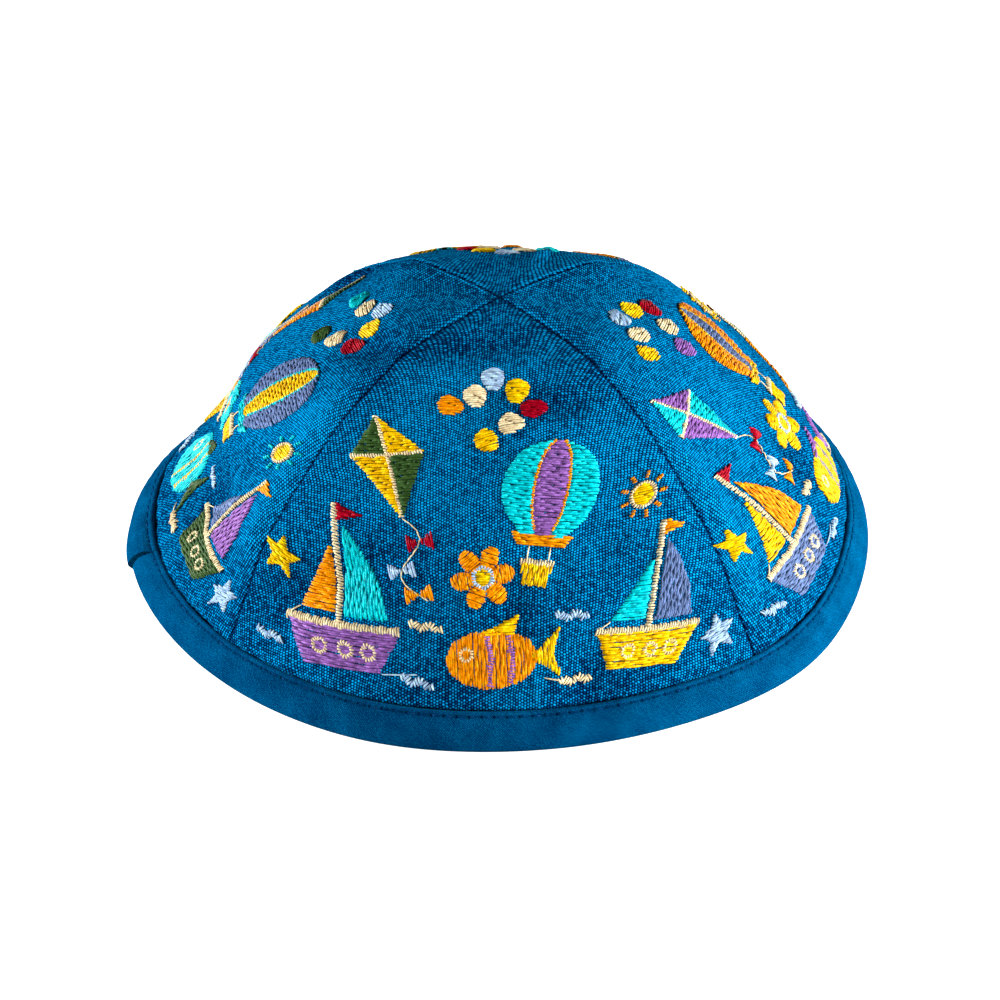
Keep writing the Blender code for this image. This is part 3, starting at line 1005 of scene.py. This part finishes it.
def tape_profile():
    """The folded tape's section: how far up the wall, and how far out, from the top round."""
    outer = CLEARANCE + TAPE_WALL
    inner = -CLOTH_WALL - CLEARANCE
    back = inner - TAPE_WALL
    top = [
        (-0.1, -0.4),
        (0.04, -0.1),
        (0.02, 0.3),
        (-0.2, 0.62),
        (-0.55, 0.78),
        (-0.85, 0.74),
        (-1.1, 0.62),
        (-1.35, 0.78),
        (-1.9, 1.04),
        (-2.7, 1.26),
    ]
    face = [
        (TAPE_WIDTH * 0.42, 0.24),
        (TAPE_WIDTH * 0.22, 0.28),
        (0.3, 0.2),
        (-0.6, 0.12),
        (-1.3, 0.02),
        (-1.85, -0.22),
        (-2.2, -0.6),
        (-2.35, -1.1),
    ]
    inside = [
        (-2.1, back + 0.8),
        (-1.5, back + 0.3),
        (-0.9, back + 0.1),
        (0.0, back + 0.04),
        (TAPE_INNER_WIDTH * 0.3, back - 0.1),
        (TAPE_INNER_WIDTH * 0.6, back - 0.05),
        (TAPE_INNER_WIDTH - 1.1, back + 0.35),
        (TAPE_INNER_WIDTH - 0.5, back + 0.15),
        (TAPE_INNER_WIDTH - 0.08, back + 0.4),
        (TAPE_INNER_WIDTH, inner + 0.1),
        (TAPE_INNER_WIDTH - 0.2, inner + 0.5),
    ]
    points = np.vstack([np.add(top, (TAPE_WIDTH, 0)), np.add(face, (0, outer))])
    return points, np.array(inside)


def smooth(points, count):
    """More points on an even curve through the ones given."""
    steps = np.linalg.norm(np.diff(points, axis=0), axis=1)
    lengths = np.concatenate([[0], np.cumsum(steps)])
    places = np.linspace(0, lengths[-1], count)
    padded = np.vstack([2 * points[0] - points[1], points, 2 * points[-1] - points[-2]])
    row = np.clip(np.searchsorted(lengths, places, side="right") - 1, 0, len(points) - 2)
    t = ((places - lengths[row]) / (lengths[row + 1] - lengths[row]))[:, None]
    a, b, c, d = (padded[row + step] for step in range(4))
    return 0.5 * (
        2 * b + (c - a) * t + (2 * a - 5 * b + 4 * c - d) * t**2 + (3 * b - a - 3 * c + d) * t**3
    )


OUTSIDE, INSIDE = (smooth(side, count) for side, count in zip(tape_profile(), (38, 16)))
PROFILE = np.vstack([OUTSIDE, INSIDE])
PROFILE_ACROSS = np.concatenate(
    [[0], np.cumsum(np.linalg.norm(np.diff(PROFILE, axis=0), axis=1))]
)
TAPE_TURN = 2 * math.pi * RIM_RADIUS
STITCH_COUNT = round(TAPE_TURN / 2.75)
STITCH_PITCH = TAPE_TURN / STITCH_COUNT
STITCH_START = 0.12
STITCH_LINE = TAPE_WIDTH - 1.1
STITCH_ACROSS = float(np.interp(-STITCH_LINE, -PROFILE[2:30, 0], PROFILE_ACROSS[2:30]))


def lap_rise(turn):
    """How far the tape's lapped end lifts its outer face, at a share of a turn."""
    share = np.clip((turn - 1 + LAP_LENGTH / TAPE_TURN) * TAPE_TURN / LAP_LENGTH, 0, 1)
    return np.where(turn < 1, LAP_RISE * share**2 * (3 - 2 * share), 0)


def tape_point(turn, up, out, tuck=0.0):
    """A point on the tape, whose lapped end is cut aslant, and tucked under its own face."""
    near = np.clip(1 - np.minimum(turn, 1 - turn) * TAPE_TURN / 16, 0, 1)
    on_face = np.clip((out + 0.2) / 1.2, 0, 1)
    azimuth = LAP_AZIMUTH + 360 * turn + near * np.maximum(up + 0.5, 0) ** 1.25 * 0.27
    azimuth = azimuth - np.degrees(tuck * on_face / RIM_RADIUS)
    arc = turn * TAPE_TURN
    ripple_up = np.clip((up - 2.5) / 3.5, 0, 1)
    pulled = 0.12 * np.sin(arc * 2 * math.pi / STITCH_PITCH) * ripple_up
    pulled = pulled + 0.10 * waves(arc, up, 5, 9, 26, 7) + 0.05 * waves(arc, up * 2, 4, 3.5, 7, 8)
    raised = lap_rise(turn) * (1 - tuck / 1.2) * np.clip((TAPE_WIDTH - up) / 2.2, 0.3, 1)
    out = out + (raised + pulled * np.clip((up + 1.2) / 1.5, 0, 1)) * on_face
    return wall_point(azimuth, up, out)


def add_binding():
    lap = 1 - TAPE_STEP / TAPE_TURN
    turns = np.concatenate([np.linspace(0, lap, TAPE_TURNS), [lap, lap, lap, 1.0 - 1e-9]])
    tucks = np.concatenate([np.zeros(TAPE_TURNS), [0.35, 0.9, 1.1, 0.0]])
    turn, row = np.meshgrid(turns, np.arange(len(PROFILE)), indexing="ij")
    up, out = PROFILE[row, 0], PROFILE[row, 1]
    points = tape_point(turn, up, out, tucks[:, None])
    points[-1] = points[0]
    points[..., 2] = np.maximum(points[..., 2], 0)
    uvs = np.stack([turn * TAPE_TURN, PROFILE_ACROSS[row]], -1)
    faces = grid_faces(len(turns), len(PROFILE))
    piece = new_piece(
        "bias_binding", points, faces, tape_material(), uvs.reshape(-1, 2), sharp=0
    )
    weld(piece, 1e-7)
    piece.data.set_sharp_from_angle(angle=math.radians(48))
    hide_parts("binding")


add_binding()


def add_topstitches():
    """A row of stitches along the tape, and the same row on its inner side."""
    stitches = Stitches()
    places = (np.arange(STITCH_COUNT) + STITCH_START) * STITCH_PITCH
    height = STITCH_LINE + rng.uniform(-0.05, 0.05, STITCH_COUNT)
    begin = np.stack([places, height], -1)
    reach = STITCH_PITCH - TOPSTITCH_GAP + rng.uniform(-0.3, 0.2, STITCH_COUNT)
    end = np.stack([places + reach, height], -1)
    stitches.add(begin, end, TOPSTITCH_RADIUS, lift=-0.02, arch=0.14)

    def place(group, along, up, height):
        return tape_point(along / TAPE_TURN % 1.0, up, 0.62 + height)

    def place_inside(group, along, up, height):
        out = -CLOTH_WALL - CLEARANCE - 0.66 * TAPE_WALL - height
        return tape_point(along / TAPE_TURN % 1.0, up - 0.5, out)

    material = thread_material("topstitch_thread", (0.0, 0.035, 0.12), 0.0)
    for name, where in (("topstitches", place), ("topstitches_inside", place_inside)):
        points, faces, uvs = stitches.mesh(where)
        new_piece(name, points, faces, material, uvs)


add_topstitches()

# Embroidery

for colour, stitches in WORK.items():
    points, faces, uvs = stitches.mesh(sewn_point)
    new_piece(
        f"embroidery_{colour}", points, faces,
        thread_material(f"thread_{colour}", THREADS[colour]), uvs,
    )

# Stage, lights and camera

LIGHT_SIZE = 0.3
LIGHT_AIM = Vector((0, 0, 0.03))
# The camera's place round the cap in degrees and metres, and what it shows: the picture's
# side in pixels, its scale at the cap, and the pixel on which the foot of the cap's axis falls
CAMERA_AZIMUTH = 2.15
CAMERA_ELEVATION = 35.12
CAMERA_DISTANCE = 0.9
CAMERA_SENSOR = 36
PICTURE_SIDE = 1000
PIXELS_PER_MM = 4.455
AXIS_X = 498.8
AXIS_Y = 526.0


def add_floor():
    mesh = bpy.data.meshes.new("floor")
    shape = bmesh.new()
    bmesh.ops.create_grid(shape, x_segments=1, y_segments=1, size=3)
    shape.to_mesh(mesh)
    shape.free()
    floor = bpy.data.objects.new("floor", mesh)
    bpy.context.scene.collection.objects.link(floor)
    paint = Shader("pale_floor", 0.9, Specular_IOR_Level=0.1)
    paint.shader.inputs["Base Color"].default_value = (0.93, 0.93, 0.93, 1)
    paint.shader.inputs["Emission Color"].default_value = (1, 1, 1, 1)
    paint.shader.inputs["Emission Strength"].default_value = 0.95
    mesh.materials.append(paint.material)
    floor.visible_diffuse = False


def add_light(name, place, power):
    light = bpy.data.lights.new(name, "AREA")
    light.shape = "DISK"
    light.size = LIGHT_SIZE
    light.energy = power
    obj = bpy.data.objects.new(name, light)
    bpy.context.scene.collection.objects.link(obj)
    obj.location = place
    obj.rotation_euler = (LIGHT_AIM - Vector(place)).to_track_quat("-Z", "Y").to_euler()


def add_world():
    world = bpy.data.worlds.new("studio")
    bpy.context.scene.world = world
    world.use_nodes = True
    background = world.node_tree.nodes["Background"]
    background.inputs[0].default_value = (1, 1, 1, 1)
    background.inputs[1].default_value = 0.03


def add_camera():
    azimuth, elevation = math.radians(CAMERA_AZIMUTH), math.radians(CAMERA_ELEVATION)
    back = Vector(
        (
            math.sin(azimuth) * math.cos(elevation),
            -math.cos(azimuth) * math.cos(elevation),
            math.sin(elevation),
        )
    )
    camera = bpy.data.cameras.new("camera")
    camera.sensor_width = CAMERA_SENSOR
    half_picture = 0.5 * PICTURE_SIDE / PIXELS_PER_MM
    camera.lens = CAMERA_SENSOR / 2 / (half_picture / (CAMERA_DISTANCE * 1000))
    obj = bpy.data.objects.new("camera", camera)
    bpy.context.scene.collection.objects.link(obj)
    obj.location = back * CAMERA_DISTANCE
    obj.rotation_euler = (-back).to_track_quat("-Z", "Y").to_euler()
    camera.shift_x = (PICTURE_SIDE / 2 - AXIS_X) / PICTURE_SIDE
    camera.shift_y = (AXIS_Y - PICTURE_SIDE / 2) / PICTURE_SIDE
    camera.clip_end = 20
    bpy.context.scene.camera = obj


add_floor()
add_world()
add_light("left_box", (-0.9, 0.1, 0.25), power=16)
add_light("right_box", (0.9, -0.08, 0.2), power=19)
add_light("front_fill", (0.0, -1.0, 0.25), power=8)
add_camera()
bpy.context.scene.view_settings.view_transform = "Standard"
